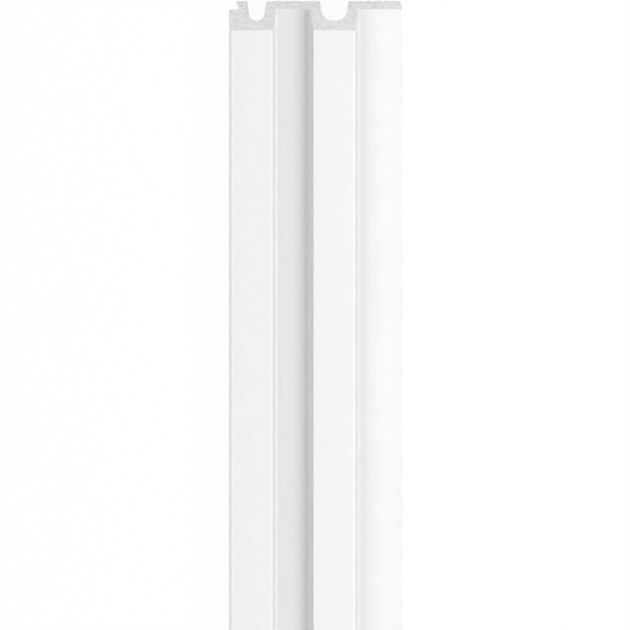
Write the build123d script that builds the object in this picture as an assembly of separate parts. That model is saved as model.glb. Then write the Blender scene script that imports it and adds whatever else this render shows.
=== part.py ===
from build123d import *
from math import radians, tan
import os

# Slatted wall panel: one extruded length of foamed plastic.
# The section lies in X and Z, with the back at Z = 0 and the slat faces up. The length runs along Y.
# The tongue is on the +X edge. The lip on the -X edge covers the tongue of the panel beside it.

# Driving dimensions, in millimetres and degrees
panel_length = 2650.0
panel_depth = 21.0  # from the back to the slat faces
slat_face = 29.0
groove_mouth = 29.0  # between two slat faces, also across a lap
slat_draft = 9.2
lip_draft = 6.5
web_thickness = 5.8  # the groove floor and the tongue
lap_width = 6.2  # how far the tongue reaches under the next lip
tongue_undercut = 14.5
notch_undercut = 21.0
lap_face_clearance = 0.2
lap_end_clearance = 1.1  # at the top of the notch
leg_foot = 7.85  # the back of the leg between the lap notch and the lip slat's channel
channel_depth = 14.0
channel_draft = 7.4
lip_channel_mouth = 13.4
middle_channel_mouth = 20.2
channel_corner_radius = 8.0
least_channel_flat = 0.2
face_edge_radius = 0.9
groove_corner_radius = 1.0
back_edge_radius = 0.4

# Widths of one panel and of its cover once it is laid
cover_width = 2 * (slat_face + groove_mouth)
panel_width = cover_width + lap_width
lip_edge = -panel_width / 2
tongue_edge = panel_width / 2


def lean(height, angle):
    """Sideways run of a wall of this height that leans by this angle."""
    return height * tan(radians(angle))


def front_corners():
    """Corners of the slats, the groove and the tongue, from the lip to the tongue's front edge."""
    lip_underside = web_thickness + lap_face_clearance
    slat_rise = panel_depth - web_thickness
    wall_run = lean(slat_rise, slat_draft)
    lip_slat = lip_edge + lean(panel_depth - lip_underside, lip_draft)
    groove = lip_slat + slat_face
    middle_slat = groove + groove_mouth
    tongue_side = middle_slat + slat_face
    return [
        (lip_edge, lip_underside, back_edge_radius),
        (lip_slat, panel_depth, face_edge_radius),
        (groove, panel_depth, face_edge_radius),
        (groove + wall_run, web_thickness, groove_corner_radius),
        (middle_slat - wall_run, web_thickness, groove_corner_radius),
        (middle_slat, panel_depth, face_edge_radius),
        (tongue_side, panel_depth, face_edge_radius),
        (tongue_side + wall_run, web_thickness, groove_corner_radius),
        (tongue_edge, web_thickness, back_edge_radius),
    ]


def channel_corners(centre, mouth):
    """Corners of a tapered channel in the back, from its +X mouth to its -X mouth."""
    half_mouth = mouth / 2
    half_bottom = half_mouth - lean(channel_depth, channel_draft)
    full_round = (half_bottom - least_channel_flat / 2) * tan(radians(90 + channel_draft) / 2)
    radius = min(channel_corner_radius, full_round)
    return [
        (centre + half_mouth, 0, back_edge_radius),
        (centre + half_bottom, channel_depth, radius),
        (centre - half_bottom, channel_depth, radius),
        (centre - half_mouth, 0, back_edge_radius),
    ]


def back_corners():
    """Corners of the back, from the tongue's undercut end to the lap notch under the lip."""
    lip_underside = web_thickness + lap_face_clearance
    notch_top = lip_edge + lap_width + lap_end_clearance
    notch_foot = notch_top - lean(lip_underside, notch_undercut)
    lip_channel_centre = notch_foot + leg_foot + lip_channel_mouth / 2
    lip_slat = lip_edge + lean(panel_depth - lip_underside, lip_draft)
    middle_slat_centre = lip_slat + slat_face + groove_mouth + slat_face / 2
    return [
        (tongue_edge - lean(web_thickness, tongue_undercut), 0, back_edge_radius),
        *channel_corners(middle_slat_centre, middle_channel_mouth),
        *channel_corners(lip_channel_centre, lip_channel_mouth),
        (notch_foot, 0, back_edge_radius),
        (notch_top, lip_underside, back_edge_radius),
    ]


def wall_panel():
    """The section extruded to its length, half to each side of the origin."""
    corners = front_corners() + back_corners()
    with BuildPart() as panel:
        with BuildSketch(Plane.XZ):
            with BuildLine():
                points = [(x, z) for x, z, radius in corners]
                FilletPolyline(*points, radius=[radius for x, z, radius in corners], close=True)
            make_face()
        extrude(amount=panel_length / 2, both=True)
    return panel.part


os.makedirs("parts", exist_ok=True)
export_step(wall_panel(), "parts/wall_panel.step")
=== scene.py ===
"""Slatted wall panel: the looks of one extruded length of white foamed plastic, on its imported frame."""

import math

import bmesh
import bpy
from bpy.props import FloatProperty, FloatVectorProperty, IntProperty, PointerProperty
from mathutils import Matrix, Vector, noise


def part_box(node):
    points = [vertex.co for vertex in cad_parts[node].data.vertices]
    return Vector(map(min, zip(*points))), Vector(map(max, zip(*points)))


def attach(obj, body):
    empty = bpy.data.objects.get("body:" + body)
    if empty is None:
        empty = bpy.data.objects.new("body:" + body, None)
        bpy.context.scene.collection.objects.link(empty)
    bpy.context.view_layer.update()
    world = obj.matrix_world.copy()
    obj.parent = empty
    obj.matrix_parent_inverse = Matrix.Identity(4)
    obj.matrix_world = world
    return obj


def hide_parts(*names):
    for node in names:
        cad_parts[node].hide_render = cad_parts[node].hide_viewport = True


bl_info = {
    "name": "Slatted Wall Panel",
    "version": (1, 0, 0),
    "blender": (4, 5, 0),
    "location": "3D View > Sidebar > Panel",
    "description": "Models a slatted foam wall panel with its skin, its cut ends and a plain studio",
    "category": "Object",
}

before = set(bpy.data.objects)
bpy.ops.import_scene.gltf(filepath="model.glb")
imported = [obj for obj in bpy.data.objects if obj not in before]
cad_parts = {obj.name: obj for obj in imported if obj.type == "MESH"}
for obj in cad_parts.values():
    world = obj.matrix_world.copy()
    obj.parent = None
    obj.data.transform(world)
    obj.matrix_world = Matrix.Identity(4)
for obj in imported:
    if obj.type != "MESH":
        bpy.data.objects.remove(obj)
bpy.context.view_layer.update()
PANEL_NODE = "wall_panel"
PANEL_LOW, PANEL_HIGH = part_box(PANEL_NODE)
MM = 0.001

# Material slots of the panel's mesh; the front-edge slot carries a painted highlight and the wall slot
# painted shade
SKIN, EDGE_HIGHLIGHT, WALL_SHADE, BACK, LAP, CUT = 0, 1, 2, 3, 4, 5

# How far a face's normal looks along an axis, from 0 to 1, for it to count as each kind of face
END_LOOK = 0.5
BACK_LOOK = 0.05
EDGE_LOOK = 0.1
WALL_LOOK = 0.7

# Edges that turn by more than this are drawn sharp
SHARP_DEGREES = 32

# Nicks in the back edge of a cut end, in millimetres from the panel's middle
NICK_PLACES = (-53.4, -31.2, -22.6, -9.1, -3.4, 34.4, 47.6)

# Rings round the panel that let the nicks run out, as shares of their reach
NICK_RINGS = (0.1, 0.4, 0.75, 1.0)

# Seed of the shift that breaks up the rows of the grain on the cut ends
SHAKE_SEED = 7

# Depths in the foam's pattern of cells at which the two ends are cut
NEAR_SEED = 0.013
FAR_SEED = 0.047

# How strongly the dull and the glossy surfaces shine
MATTE_SPECULAR = 0.02
GLOSSY_SPECULAR = 0.65

# Stretch of a grain along the length, for clouds, orange peel, streaks and drawn lines
CLOUD_STRETCH = (1, 0.25, 1)
PEEL_STRETCH = (1, 0.5, 1)
STREAK_STRETCH = (1, 0.03, 1)
DRAWN_STRETCH = (1, 0.02, 1)

# Grains in a metre
CLOUD_SCALE = 60
PEEL_SCALE = 900
STREAK_SCALE = 700
DRAWN_SCALE = 1400


def length(name, description, default):
    """A length that the user may change, in metres."""
    return FloatProperty(
        name=name, description=description, default=default, unit="LENGTH", precision=5
    )


def angle(name, description, degrees):
    """An angle that the user may change, given in degrees."""
    return FloatProperty(
        name=name, description=description, default=math.radians(degrees), unit="ROTATION"
    )


def colour(name, description, default):
    """A colour that the user may change."""
    return FloatVectorProperty(
        name=name, description=description, default=default, subtype="COLOR", min=0, max=1
    )


def share(name, description, default, most=1.0):
    """A plain number from 0 that the user may change."""
    return FloatProperty(
        name=name, description=description, default=default, min=0.0, max=most, subtype="FACTOR"
    )


def flats(name, description, default):
    """A number of flats along a rounded corner that the user may change."""
    return IntProperty(name=name, description=description, default=default, min=1)


class PanelSection(bpy.types.PropertyGroup):
    """Sizes of the extruded section."""

    panel_depth: length("Depth", "From the back to the slat faces", PANEL_HIGH.z - PANEL_LOW.z)
    panel_length: length("Length", "Cut length of the panel", PANEL_HIGH.y - PANEL_LOW.y)
    slat_face: length("Slat face", "Flat front of each slat", 29 * MM)
    groove_mouth: length("Groove mouth", "Gap between two slat faces", 29 * MM)
    slat_draft: angle("Slat draft", "Lean of the walls of the groove and of the tongue side", 9.2)
    lip_draft: angle("Lip draft", "Lean of the outer wall above the lip", 6.5)
    web_thickness: length("Web", "Thickness of the groove floor and of the tongue", 5.8 * MM)
    lap_width: length("Lap", "How far the tongue reaches under the next lip", 6.2 * MM)
    tongue_undercut: angle("Tongue undercut", "Lean of the tongue's end", 14.5)
    notch_undercut: angle("Notch undercut", "Lean of the side of the lap notch", 21)
    lap_face_clearance: length("Lap face clearance", "Gap between a tongue and the lip above it", 0.2 * MM)
    lap_end_clearance: length("Lap end clearance", "Gap from a tongue's end to the notch's top", 1.1 * MM)
    leg_foot: length("Leg foot", "Back of the leg between the notch and the lip slat's channel", 7.85 * MM)
    channel_depth: length("Channel depth", "Depth of the channels in the back", 14 * MM)
    channel_draft: angle("Channel draft", "Lean of the channels' walls", 7.4)
    lip_channel_mouth: length("Lip channel", "Mouth of the channel behind the lip slat", 13.4 * MM)
    middle_channel_mouth: length("Middle channel", "Mouth of the channel behind the middle slat", 20.2 * MM)
    channel_corner_radius: length("Channel corners", "Largest radius in a channel's bottom", 8 * MM)
    least_channel_flat: length("Channel flat", "Flat that stays between two channel corners", 0.2 * MM)
    face_edge_radius: length("Face edges", "Radius of the slats' front edges", 0.9 * MM)
    groove_corner_radius: length("Groove corners", "Radius at the foot of a slat's wall", 1 * MM)
    back_edge_radius: length("Back edges", "Radius of the edges of the back and of the lap", 0.4 * MM)
    arc_segments: flats("Arc segments", "Flats along a small rounded edge", 5)
    channel_segments: flats("Channel segments", "Flats along a channel corner", 14)


class PanelFinish(bpy.types.PropertyGroup):
    """Colours and grain of the front, the back and the cut ends, with a painted highlight on the slats'
    front edges, painted shade on the slats' walls and painted shade in the open cells of the cut ends.
    """

    skin_colour: colour("Skin", "Smooth white skin of the front", (0.80, 0.80, 0.80))
    # Painted highlight: the slats' front edges get a paler colour than the skin, standing in for the light
    # they catch
    edge_highlight_colour: colour("Edges", "Paler front edges of the slats", (0.90, 0.90, 0.90))
    # Painted shade: the slats' walls get a darker colour than the skin, standing in for the shade they lie
    # in
    wall_painted_shade_colour: colour("Walls", "Darker walls of the slats", (0.73, 0.73, 0.73))
    back_colour: colour("Back", "Bare extruded back and channels", (0.86, 0.86, 0.855))
    cut_colour: colour("Cut foam", "Cut ends of the foam", (0.875, 0.875, 0.875))
    # Painted shade: the middles of the open cells on the cut ends are darkened to this colour, standing in
    # for the shade inside them
    painted_cell_shade: colour("Cell shade", "Open cells in the cut ends", (0.69, 0.69, 0.69))
    skin_roughness: share("Skin roughness", "Dullness of the skin", 0.55)
    lap_roughness: share("Lap roughness", "Dullness of the side of the lap notch", 0.03)
    foam_roughness: share("Foam roughness", "Dullness of the bare foam", 0.88)
    cell_size: length("Cell size", "Width of the cells that a cut end shows", 0.6 * MM)
    cell_depth: length("Cell depth", "Depth of the opened cells", 0.22 * MM)
    saw_depth: length("Saw depth", "Depth of the saw's waves across a cut end", 0.12 * MM)
    grain_pitch: length("Grain pitch", "Spacing of the relief on a cut end", 0.4 * MM)
    nick_width: length("Nick width", "Width of a nick that the saw tore in the back edge", 1.6 * MM)
    nick_depth: length("Nick depth", "Depth of a nick into the back edge", 0.6 * MM)
    nick_reach: length("Nick reach", "How far a nick runs along the panel", 5 * MM)


class PanelStage(bpy.types.PropertyGroup):
    """Floor, light and camera."""

    view_height: angle("View height", "Height of the view above the panel's plane", 10)
    sky_level: share("Sky", "Soft light from all round", 0.12, 4.0)
    key_level: share("Key", "Brightness of the broad lamp above the tongue side", 2.42, 8.0)
    fill_level: share("Fill", "Brightness of the lamp above the lip side", 1.44, 8.0)
    low_level: share("Low fill", "Brightness of the low lamp beside the lip", 3.3, 8.0)
    floor_white: share("Floor white", "How far the floor shows as plain white", 0.97)
    floor_colour: colour("Floor", "Pale floor", (0.8, 0.8, 0.8))


def lean(height, tilt):
    """Sideways run of a wall of this height that leans by this angle."""
    return height * math.tan(tilt)


def section_corners(size):
    """Corners of the section as (x, z, radius), from the lip over the front and back along the back."""
    panel_width = 2 * (size.slat_face + size.groove_mouth) + size.lap_width
    lip_edge = -panel_width / 2
    tongue_edge = panel_width / 2
    lip_underside = size.web_thickness + size.lap_face_clearance
    wall_run = lean(size.panel_depth - size.web_thickness, size.slat_draft)
    lip_slat = lip_edge + lean(size.panel_depth - lip_underside, size.lip_draft)
    groove = lip_slat + size.slat_face
    middle_slat = groove + size.groove_mouth
    tongue_side = middle_slat + size.slat_face
    notch_top = lip_edge + size.lap_width + size.lap_end_clearance
    notch_foot = notch_top - lean(lip_underside, size.notch_undercut)
    lip_channel = notch_foot + size.leg_foot + size.lip_channel_mouth / 2
    middle_channel = middle_slat + size.slat_face / 2
    edge = size.back_edge_radius
    return [
        (lip_edge, lip_underside, edge),
        (lip_slat, size.panel_depth, size.face_edge_radius),
        (groove, size.panel_depth, size.face_edge_radius),
        (groove + wall_run, size.web_thickness, size.groove_corner_radius),
        (middle_slat - wall_run, size.web_thickness, size.groove_corner_radius),
        (middle_slat, size.panel_depth, size.face_edge_radius),
        (tongue_side, size.panel_depth, size.face_edge_radius),
        (tongue_side + wall_run, size.web_thickness, size.groove_corner_radius),
        (tongue_edge, size.web_thickness, edge),
        (tongue_edge - lean(size.web_thickness, size.tongue_undercut), 0.0, edge),
        *channel_corners(size, middle_channel, size.middle_channel_mouth),
        *channel_corners(size, lip_channel, size.lip_channel_mouth),
        (notch_foot, 0.0, edge),
        (notch_top, lip_underside, edge),
    ]


def channel_corners(size, centre, mouth):
    """Corners of a tapered channel in the back, from its +X mouth to its -X mouth."""
    half_mouth = mouth / 2
    half_bottom = half_mouth - lean(size.channel_depth, size.channel_draft)
    half_turn = (math.pi / 2 + size.channel_draft) / 2
    full_round = (half_bottom - size.least_channel_flat / 2) * math.tan(half_turn)
    radius = min(size.channel_corner_radius, full_round)
    return [
        (centre + half_mouth, 0.0, size.back_edge_radius),
        (centre + half_bottom, size.channel_depth, radius),
        (centre - half_bottom, size.channel_depth, radius),
        (centre - half_mouth, 0.0, size.back_edge_radius),
    ]


def section_face(bm, size, y):
    """The section as one face at this y, with its corners rounded."""
    corners = section_corners(size)
    points = [bm.verts.new((x, y, z)) for x, z, radius in corners]
    bm.faces.new(points)
    places = [Vector((x, z)) for x, z, radius in corners]
    for i, (x, z, radius) in enumerate(corners):
        before = places[i - 1] - places[i]
        after = places[(i + 1) % len(places)] - places[i]
        small = radius <= size.groove_corner_radius
        bmesh.ops.bevel(
            bm,
            geom=[points[i]],
            offset=radius / math.tan(before.angle(after) / 2),
            offset_type="OFFSET",
            affect="VERTICES",
            segments=size.arc_segments if small else size.channel_segments,
            profile=0.5,
            material=-1,
        )


def cut_across(bm, geometry, axis, places):
    """Cuts the geometry along planes square to an axis, at these places on it."""
    near_plane = 0.02 * MM
    normal = Vector((0, 0, 0))
    normal[axis] = 1
    for place in places:
        found = bmesh.ops.bisect_plane(
            bm, geom=geometry, dist=near_plane, plane_co=normal * place, plane_no=normal
        )
        geometry = found["geom"]


def steps(low, high, pitch):
    """Places between low and high, a pitch apart."""
    return [low + pitch * (i + 1) for i in range(int((high - low) / pitch))]


def everything(bm):
    """All vertices, edges and faces."""
    return bm.verts[:] + bm.edges[:] + bm.faces[:]


def shake_grain(bm, pitch):
    """Moves the inner points of a cut end about, so that its grain has no rows."""
    noise_scale = 1.37
    most_shift = 0.45
    noise.seed_set(SHAKE_SEED)
    for point in bm.verts:
        if not point.is_boundary:
            shift = noise.noise_vector(point.co / pitch * noise_scale)
            point.co += Vector((shift.x, 0, shift.z)) * pitch * most_shift


def end_face(bm, size, finish):
    """The cut end at the low end of the length, divided for its grain and looking outwards."""
    section_face(bm, size, -size.panel_length / 2)
    cut_across(bm, everything(bm), 2, steps(0.0, size.panel_depth, finish.grain_pitch))
    cut_across(bm, everything(bm), 0, steps(PANEL_LOW.x, PANEL_HIGH.x, finish.grain_pitch))
    shake_grain(bm, finish.grain_pitch)
    faces = bm.faces[:]
    bmesh.ops.recalc_face_normals(bm, faces=faces)
    if faces[0].normal.y > 0:
        bmesh.ops.reverse_faces(bm, faces=faces)
    return faces


def draw_out(bm, near_end, size):
    """Draws the near end out to the panel's length, and keeps it as the panel's other end."""
    grown = bmesh.ops.extrude_face_region(bm, geom=near_end, use_keep_orig=True)["geom"]
    far_points = [item for item in grown if isinstance(item, bmesh.types.BMVert)]
    bmesh.ops.translate(bm, verts=far_points, vec=(0, size.panel_length, 0))
    bmesh.ops.recalc_face_normals(bm, faces=bm.faces[:])
    bm.normal_update()


def face_finish(face, size):
    """Material slot of a face, from where it lies and where it looks."""
    place = face.calc_center_median()
    sideways = abs(face.normal.x)
    if abs(face.normal.y) > END_LOOK:
        return CUT
    if face.normal.z <= BACK_LOOK:
        return BACK
    if place.z < size.web_thickness and place.x < 0:
        return LAP
    # The front-edge fillets take the painted highlight and the slat walls the painted shade
    if EDGE_LOOK < sideways < WALL_LOOK and place.z > size.panel_depth / 2:
        return EDGE_HIGHLIGHT
    return WALL_SHADE if sideways > WALL_LOOK else SKIN


def ring_sides(bm, size, finish):
    """Cuts rings round the long sides near both ends, where the nicks run out."""
    sides = [face for face in bm.faces if face.material_index != CUT]
    geometry = dict.fromkeys(item for face in sides for item in (*face.verts, *face.edges, face))
    rings = [size.panel_length / 2 - finish.nick_reach * part for part in NICK_RINGS]
    cut_across(bm, list(geometry), 1, [-ring for ring in rings] + rings)


def cell_relief(finish, x, z, seed):
    """Depth of the opened cells and saw waves at a place on a cut end."""
    wall_sharpness = 2.2
    cell_part = 0.7
    fine_part = 0.3
    fine_scale = 2.1
    fine_octaves = 2
    saw_wave = 2.2 * MM
    saw_across = 0.35
    saw_upward = 2.4
    place = Vector((x, z, seed)) / finish.cell_size
    near, next_near = noise.voronoi(place)[0][:2]
    cell = min(1.0, wall_sharpness * (next_near - near))
    fine = noise.turbulence(place * fine_scale, fine_octaves, False)
    saw = noise.noise(Vector((x * saw_across, z * saw_upward, seed)) / saw_wave)
    return finish.cell_depth * (cell_part * cell + fine_part * fine) + finish.saw_depth * (0.5 + 0.5 * saw)


def roughen_end(points, finish, inward, seed):
    """Sinks the points of one cut end into the foam by the depth of its cells, and its rim by less."""
    rim_part = 0.4
    for point in points:
        rim = any(face.material_index != CUT for face in point.link_faces)
        depth = max(0.0, cell_relief(finish, point.co.x, point.co.z, seed))
        point.co.y += inward * depth * (rim_part if rim else 1.0)


def tear_nicks(bm, size, finish):
    """Lifts the back edge at both cut ends where the saw tore the foam."""
    run_out = 4
    steepness = 1.6
    half_width = 0.45
    wobble = 0.3
    wobble_step = 3.7
    wobble_seed = 0.5
    half_length = size.panel_length / 2
    for point in bm.verts:
        from_end = half_length - abs(point.co.y)
        if point.co.z > finish.nick_depth or from_end > finish.nick_reach:
            continue
        along = min(1.0, run_out * (1 - from_end / finish.nick_reach))
        for i, place in enumerate(NICK_PLACES):
            change = noise.noise(Vector((i * wobble_step, point.co.y, wobble_seed)))
            reach = finish.nick_width * (half_width + wobble * change)
            across = max(0.0, 1 - abs(point.co.x - place * MM) / reach)
            lift = finish.nick_depth * along * min(1.0, steepness * across)
            point.co.z = max(point.co.z, lift)


def panel_mesh(size, finish):
    """The whole panel: a rounded section, its cut ends with their grain, and its long sides."""
    bm = bmesh.new()
    draw_out(bm, end_face(bm, size, finish), size)
    for face in bm.faces:
        face.material_index = face_finish(face, size)
        face.smooth = face.material_index != CUT
    ring_sides(bm, size, finish)
    hair = 0.001 * MM
    end_place = size.panel_length / 2 - hair
    near_points = [point for point in bm.verts if point.co.y < -end_place]
    far_points = [point for point in bm.verts if point.co.y > end_place]
    roughen_end(near_points, finish, 1, NEAR_SEED)
    roughen_end(far_points, finish, -1, FAR_SEED)
    tear_nicks(bm, size, finish)
    mesh = bpy.data.meshes.new("panel")
    bm.to_mesh(mesh)
    bm.free()
    mesh.set_sharp_from_angle(angle=math.radians(SHARP_DEGREES))
    return mesh


def new_material(name, base_colour, roughness):
    """A dull material, with its node tree and its shader, ready for grain."""
    material = bpy.data.materials.new(name)
    material.use_nodes = True
    shader = material.node_tree.nodes["Principled BSDF"]
    shader.inputs["Base Color"].default_value = (*base_colour, 1)
    shader.inputs["Roughness"].default_value = roughness
    shader.inputs["Specular IOR Level"].default_value = MATTE_SPECULAR
    material.diffuse_color = (*base_colour, 1)
    return material, material.node_tree, shader


def add_node(tree, kind, **values):
    """A node with its sockets or settings filled in by name."""
    node = tree.nodes.new(kind)
    for name, value in values.items():
        socket = node.inputs.get(name.replace("_", " ").title())
        if socket is not None:
            socket.default_value = value
        else:
            setattr(node, name, value)
    return node


def object_places(tree, scale):
    """Object coordinates, stretched along each axis by scale."""
    coordinates = add_node(tree, "ShaderNodeTexCoord")
    mapping = add_node(tree, "ShaderNodeMapping", scale=scale)
    tree.links.new(coordinates.outputs["Object"], mapping.inputs["Vector"])
    return mapping.outputs["Vector"]


def grain(tree, places, scale, detail=3.0, roughness=0.55):
    """Soft noise, from 0 to 1."""
    node = add_node(tree, "ShaderNodeTexNoise", scale=scale, detail=detail, roughness=roughness)
    tree.links.new(places, node.inputs["Vector"])
    return node.outputs["Fac"]


def added(tree, factor, amount, base):
    """The factor times an amount, added to a base."""
    node = tree.nodes.new("ShaderNodeMath")
    node.operation = "MULTIPLY_ADD"
    node.inputs[1].default_value = amount
    tree.links.new(factor, node.inputs[0])
    tree.links.new(base, node.inputs[2])
    return node.outputs["Value"]


def ramp(tree, factor, low, high, first, last):
    """Colours from first to last as the factor goes from low to high."""
    node = tree.nodes.new("ShaderNodeValToRGB")
    node.color_ramp.elements[0].position = low
    node.color_ramp.elements[1].position = high
    node.color_ramp.elements[0].color = (*first, 1)
    node.color_ramp.elements[1].color = (*last, 1)
    tree.links.new(factor, node.inputs["Fac"])
    return node.outputs["Color"]


def spread(tree, factor, low, high):
    """The factor, from 0 to 1, spread between low and high."""
    node = tree.nodes.new("ShaderNodeMapRange")
    node.inputs["To Min"].default_value = low
    node.inputs["To Max"].default_value = high
    tree.links.new(factor, node.inputs["Value"])
    return node.outputs["Result"]


def bump(tree, shader, height, strength, distance):
    """Relief from a height, on the shader's normal."""
    node = add_node(tree, "ShaderNodeBump", strength=strength, distance=distance)
    tree.links.new(height, node.inputs["Height"])
    tree.links.new(node.outputs["Normal"], shader.inputs["Normal"])


def tinted(base, amount):
    """A colour made a little lighter or darker."""
    return tuple(min(1.0, channel * amount) for channel in base)


def drawn_skin(name, base, finish):
    """Matte skin: faint clouding, fine orange peel and drawn lines along the length."""
    gloss_change = 0.05
    material, tree, shader = new_material(name, base, finish.skin_roughness)
    cloud = grain(tree, object_places(tree, CLOUD_STRETCH), CLOUD_SCALE)
    dark = tinted(base, 0.992)
    light = tinted(base, 1.006)
    clouded = ramp(tree, cloud, low=0.3, high=0.7, first=dark, last=light)
    tree.links.new(clouded, shader.inputs["Base Color"])
    drawn = grain(tree, object_places(tree, DRAWN_STRETCH), DRAWN_SCALE)
    dullest = finish.skin_roughness + gloss_change
    glossiest = finish.skin_roughness - gloss_change
    tree.links.new(spread(tree, drawn, glossiest, dullest), shader.inputs["Roughness"])
    peel = grain(tree, object_places(tree, PEEL_STRETCH), PEEL_SCALE)
    bump(tree, shader, peel, strength=0.06, distance=0.1 * MM)
    return material


def skin_material(finish):
    """Flat faces of the slats, the groove floor and the tongue."""
    return drawn_skin("panel_skin", finish.skin_colour, finish)


def painted_edge_highlight_material(finish):
    """Front edges of the slats, painted a little paler than the skin as a painted highlight."""
    return drawn_skin("panel_edge_painted_highlight", finish.edge_highlight_colour, finish)


def painted_wall_shade_material(finish):
    """Walls of the slats, painted a little darker than the skin as painted shade."""
    return drawn_skin("panel_wall_painted_shade", finish.wall_painted_shade_colour, finish)


def back_material(finish):
    """Bare extruded foam: duller, with drawn streaks along the length."""
    base = finish.back_colour
    material, tree, shader = new_material("panel_back", base, finish.foam_roughness)
    streak = grain(tree, object_places(tree, STREAK_STRETCH), STREAK_SCALE)
    dark = tinted(base, 0.95)
    light = tinted(base, 1.02)
    streaked = ramp(tree, streak, low=0.25, high=0.75, first=dark, last=light)
    tree.links.new(streaked, shader.inputs["Base Color"])
    bump(tree, shader, streak, strength=0.25, distance=0.15 * MM)
    return material


def lap_material(finish):
    """Side of the lap notch, drawn glossy by the die."""
    base = finish.back_colour
    material, tree, shader = new_material("panel_lap", base, finish.lap_roughness)
    shader.inputs["Specular IOR Level"].default_value = GLOSSY_SPECULAR
    shader.inputs["Coat Weight"].default_value = 1.0
    shader.inputs["Coat Roughness"].default_value = finish.lap_roughness
    drawn = grain(tree, object_places(tree, DRAWN_STRETCH), DRAWN_SCALE)
    lined = ramp(tree, drawn, low=0.25, high=0.75, first=tinted(base, 0.97), last=base)
    tree.links.new(lined, shader.inputs["Base Color"])
    return material


def cut_material(finish):
    """Sawn foam: pale walls round open cells whose middles are darkened as painted shade, with denser
    streaks across the section.
    """
    fine_scale = 2.4
    streak_scale = 0.43
    streak_stretch = (0.45, 1, 1.5)
    material, tree, shader = new_material("panel_cut", finish.cut_colour, finish.foam_roughness)
    places = object_places(tree, (1, 1, 1))
    cells = add_node(tree, "ShaderNodeTexVoronoi", scale=1 / finish.cell_size)
    tree.links.new(places, cells.inputs["Vector"])
    cell = cells.outputs["Distance"]
    fine = grain(tree, places, fine_scale / finish.cell_size, detail=2)
    streak_places = object_places(tree, streak_stretch)
    streaks = grain(tree, streak_places, streak_scale / finish.cell_size, detail=4, roughness=0.6)
    foam = added(tree, cell, amount=0.5, base=added(tree, fine, amount=0.25, base=streaks))
    # The ramp mixes random tone from the streaks and fine grain with painted shade that darkens the middle
    # of each cell
    celled = ramp(tree, foam, low=0.68, high=0.98, first=finish.painted_cell_shade, last=finish.cut_colour)
    tree.links.new(celled, shader.inputs["Base Color"])
    relief = added(tree, cell, amount=0.8, base=fine)
    bump(tree, shader, relief, strength=0.6, distance=0.15 * MM)
    return material


# Makers of the panel's materials, in the order of its slots
FINISHES = (skin_material, painted_edge_highlight_material, painted_wall_shade_material, back_material, lap_material, cut_material)


class WALLPANEL_OT_panel(bpy.types.Operator):
    """Model the panel with its skin, its bare back and its cut ends"""

    bl_idname = "wallpanel.panel"
    bl_label = "Panel"

    def execute(self, context):
        size = context.scene.wallpanel_section
        finish = context.scene.wallpanel_finish
        mesh = panel_mesh(size, finish)
        for make in FINISHES:
            mesh.materials.append(make(finish))
        panel = bpy.data.objects.new("panel", mesh)
        context.scene.collection.objects.link(panel)
        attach(panel, "root")
        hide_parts(PANEL_NODE)
        return {"FINISHED"}


def seen_as_white(tree):
    """1 where the camera, a mirror or glass looks at a surface, and 0 for light that bounces."""
    path = tree.nodes.new("ShaderNodeLightPath")
    seen = path.outputs["Is Camera Ray"]
    for name in ("Is Glossy Ray", "Is Transmission Ray"):
        either = tree.nodes.new("ShaderNodeMath")
        either.operation = "MAXIMUM"
        tree.links.new(seen, either.inputs[0])
        tree.links.new(path.outputs[name], either.inputs[1])
        seen = either.outputs["Value"]
    return seen


def floor_material(stage):
    """Pale floor that shows as white and keeps a faint shadow."""
    material = bpy.data.materials.new("floor")
    material.use_nodes = True
    tree = material.node_tree
    shader = tree.nodes["Principled BSDF"]
    shader.inputs["Base Color"].default_value = (*stage.floor_colour, 1)
    shader.inputs["Roughness"].default_value = 1.0
    shader.inputs["Specular IOR Level"].default_value = 0.0
    white = add_node(tree, "ShaderNodeEmission", strength=1.0)
    amount = tree.nodes.new("ShaderNodeMath")
    amount.operation = "MULTIPLY"
    amount.inputs[1].default_value = stage.floor_white
    tree.links.new(seen_as_white(tree), amount.inputs[0])
    mix = tree.nodes.new("ShaderNodeMixShader")
    tree.links.new(amount.outputs["Value"], mix.inputs["Fac"])
    tree.links.new(shader.outputs["BSDF"], mix.inputs[1])
    tree.links.new(white.outputs["Emission"], mix.inputs[2])
    tree.links.new(mix.outputs["Shader"], tree.nodes["Material Output"].inputs["Surface"])
    return material


def make_floor(context, stage):
    """A wide floor, a hair below the panel's back."""
    half_width = 30
    drop = 0.05 * MM
    bm = bmesh.new()
    bmesh.ops.create_grid(bm, x_segments=1, y_segments=1, size=half_width)
    mesh = bpy.data.meshes.new("floor")
    bm.to_mesh(mesh)
    bm.free()
    mesh.materials.append(floor_material(stage))
    floor = bpy.data.objects.new("floor", mesh)
    floor.location.z = PANEL_LOW.z - drop
    context.scene.collection.objects.link(floor)


def make_sky(context, stage):
    """Even soft light from all round, seen as white."""
    world = bpy.data.worlds.new("studio")
    world.use_nodes = True
    tree = world.node_tree
    background = tree.nodes["Background"]
    background.inputs["Color"].default_value = (1, 1, 1, 1)
    strength = spread(tree, seen_as_white(tree), stage.sky_level, 1.0)
    tree.links.new(strength, background.inputs["Strength"])
    context.scene.world = world


def make_lamp(context, name, level, lean_degrees, reach_degrees, distance):
    """A lamp longer than the panel, leaning from straight above, as wide as its reach to each side."""
    lamp_length = 9.0
    tilt = math.radians(lean_degrees)
    lamp = bpy.data.lights.new(name, "AREA")
    lamp.shape = "RECTANGLE"
    lamp.size = 2 * distance * math.tan(math.radians(reach_degrees))
    lamp.size_y = lamp_length
    lamp.energy = level * math.pi * lamp.size * lamp.size_y
    light = bpy.data.objects.new(name, lamp)
    light.location = (distance * math.sin(tilt), 0, distance * math.cos(tilt))
    light.rotation_euler = (0, tilt, 0)
    light.visible_camera = False
    context.scene.collection.objects.link(light)


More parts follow.
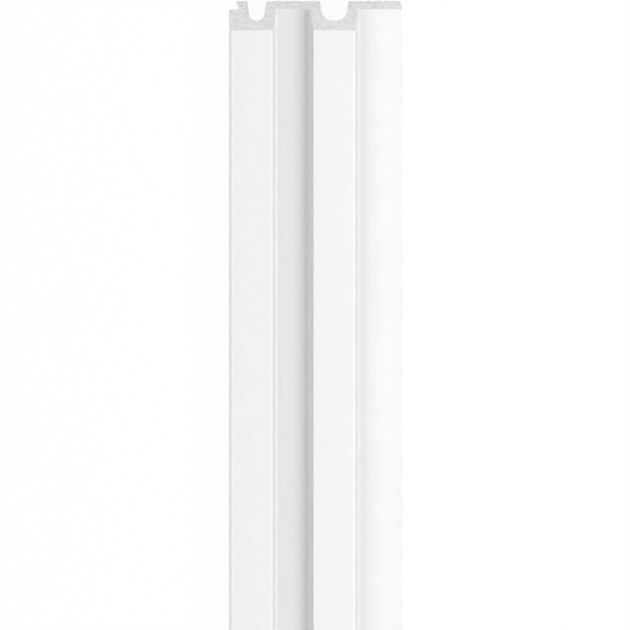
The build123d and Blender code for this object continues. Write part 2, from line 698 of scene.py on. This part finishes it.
def make_camera(context, stage):
    """A parallel view along the panel onto its cut end, with the end at the top of the picture."""
    frame_pixels = 630
    panel_pixels = 173.1
    end_pixel = 1.0
    lip_pixel = 229.05
    stand_off = 3
    scale = (PANEL_HIGH.x - PANEL_LOW.x) / panel_pixels
    tilt = stage.view_height
    right = Vector((1, 0, 0))
    up = Vector((0, math.sin(tilt), -math.cos(tilt)))
    back = right.cross(up)
    end_edge = Vector((PANEL_LOW.x, PANEL_HIGH.y, PANEL_LOW.z))
    middle = frame_pixels / 2
    target = end_edge + right * (middle - lip_pixel) * scale - up * (middle - end_pixel) * scale
    camera = bpy.data.cameras.new("camera")
    camera.type = "ORTHO"
    camera.ortho_scale = frame_pixels * scale
    viewer = bpy.data.objects.new("camera", camera)
    turn = Matrix((right, up, back)).transposed().to_4x4()
    viewer.matrix_world = Matrix.Translation(target + back * stand_off) @ turn
    context.scene.collection.objects.link(viewer)
    context.scene.camera = viewer


class WALLPANEL_OT_stage(bpy.types.Operator):
    """Set up the floor, the light and the camera"""

    bl_idname = "wallpanel.stage"
    bl_label = "Stage"

    def execute(self, context):
        stage = context.scene.wallpanel_stage
        make_floor(context, stage)
        make_sky(context, stage)
        make_lamp(context, "key", stage.key_level, lean_degrees=40, reach_degrees=20, distance=0.8)
        make_lamp(context, "fill", stage.fill_level, lean_degrees=-37, reach_degrees=17, distance=1.5)
        make_lamp(context, "low_fill", stage.low_level, lean_degrees=-85, reach_degrees=4.5, distance=1.2)
        make_camera(context, stage)
        context.scene.view_settings.view_transform = "Standard"
        return {"FINISHED"}


class WALLPANEL_PT_sidebar(bpy.types.Panel):
    """Sizes, finishes and steps of the wall panel"""

    bl_idname = "WALLPANEL_PT_sidebar"
    bl_label = "Slatted Wall Panel"
    bl_space_type = "VIEW_3D"
    bl_region_type = "UI"
    bl_category = "Panel"

    def draw(self, context):
        for group in (
            context.scene.wallpanel_section,
            context.scene.wallpanel_finish,
            context.scene.wallpanel_stage,
        ):
            box = self.layout.box()
            for name in group.__annotations__:
                box.prop(group, name)
        self.layout.operator(WALLPANEL_OT_panel.bl_idname)
        self.layout.operator(WALLPANEL_OT_stage.bl_idname)


CLASSES = (
    PanelSection,
    PanelFinish,
    PanelStage,
    WALLPANEL_OT_panel,
    WALLPANEL_OT_stage,
    WALLPANEL_PT_sidebar,
)


def register():
    for item in CLASSES:
        bpy.utils.register_class(item)
    bpy.types.Scene.wallpanel_section = PointerProperty(type=PanelSection)
    bpy.types.Scene.wallpanel_finish = PointerProperty(type=PanelFinish)
    bpy.types.Scene.wallpanel_stage = PointerProperty(type=PanelStage)


def unregister():
    del bpy.types.Scene.wallpanel_stage
    del bpy.types.Scene.wallpanel_finish
    del bpy.types.Scene.wallpanel_section
    for item in reversed(CLASSES):
        bpy.utils.unregister_class(item)


def main():
    register()
    bpy.ops.wallpanel.panel()
    bpy.ops.wallpanel.stage()


if __name__ == "__main__":
    main()
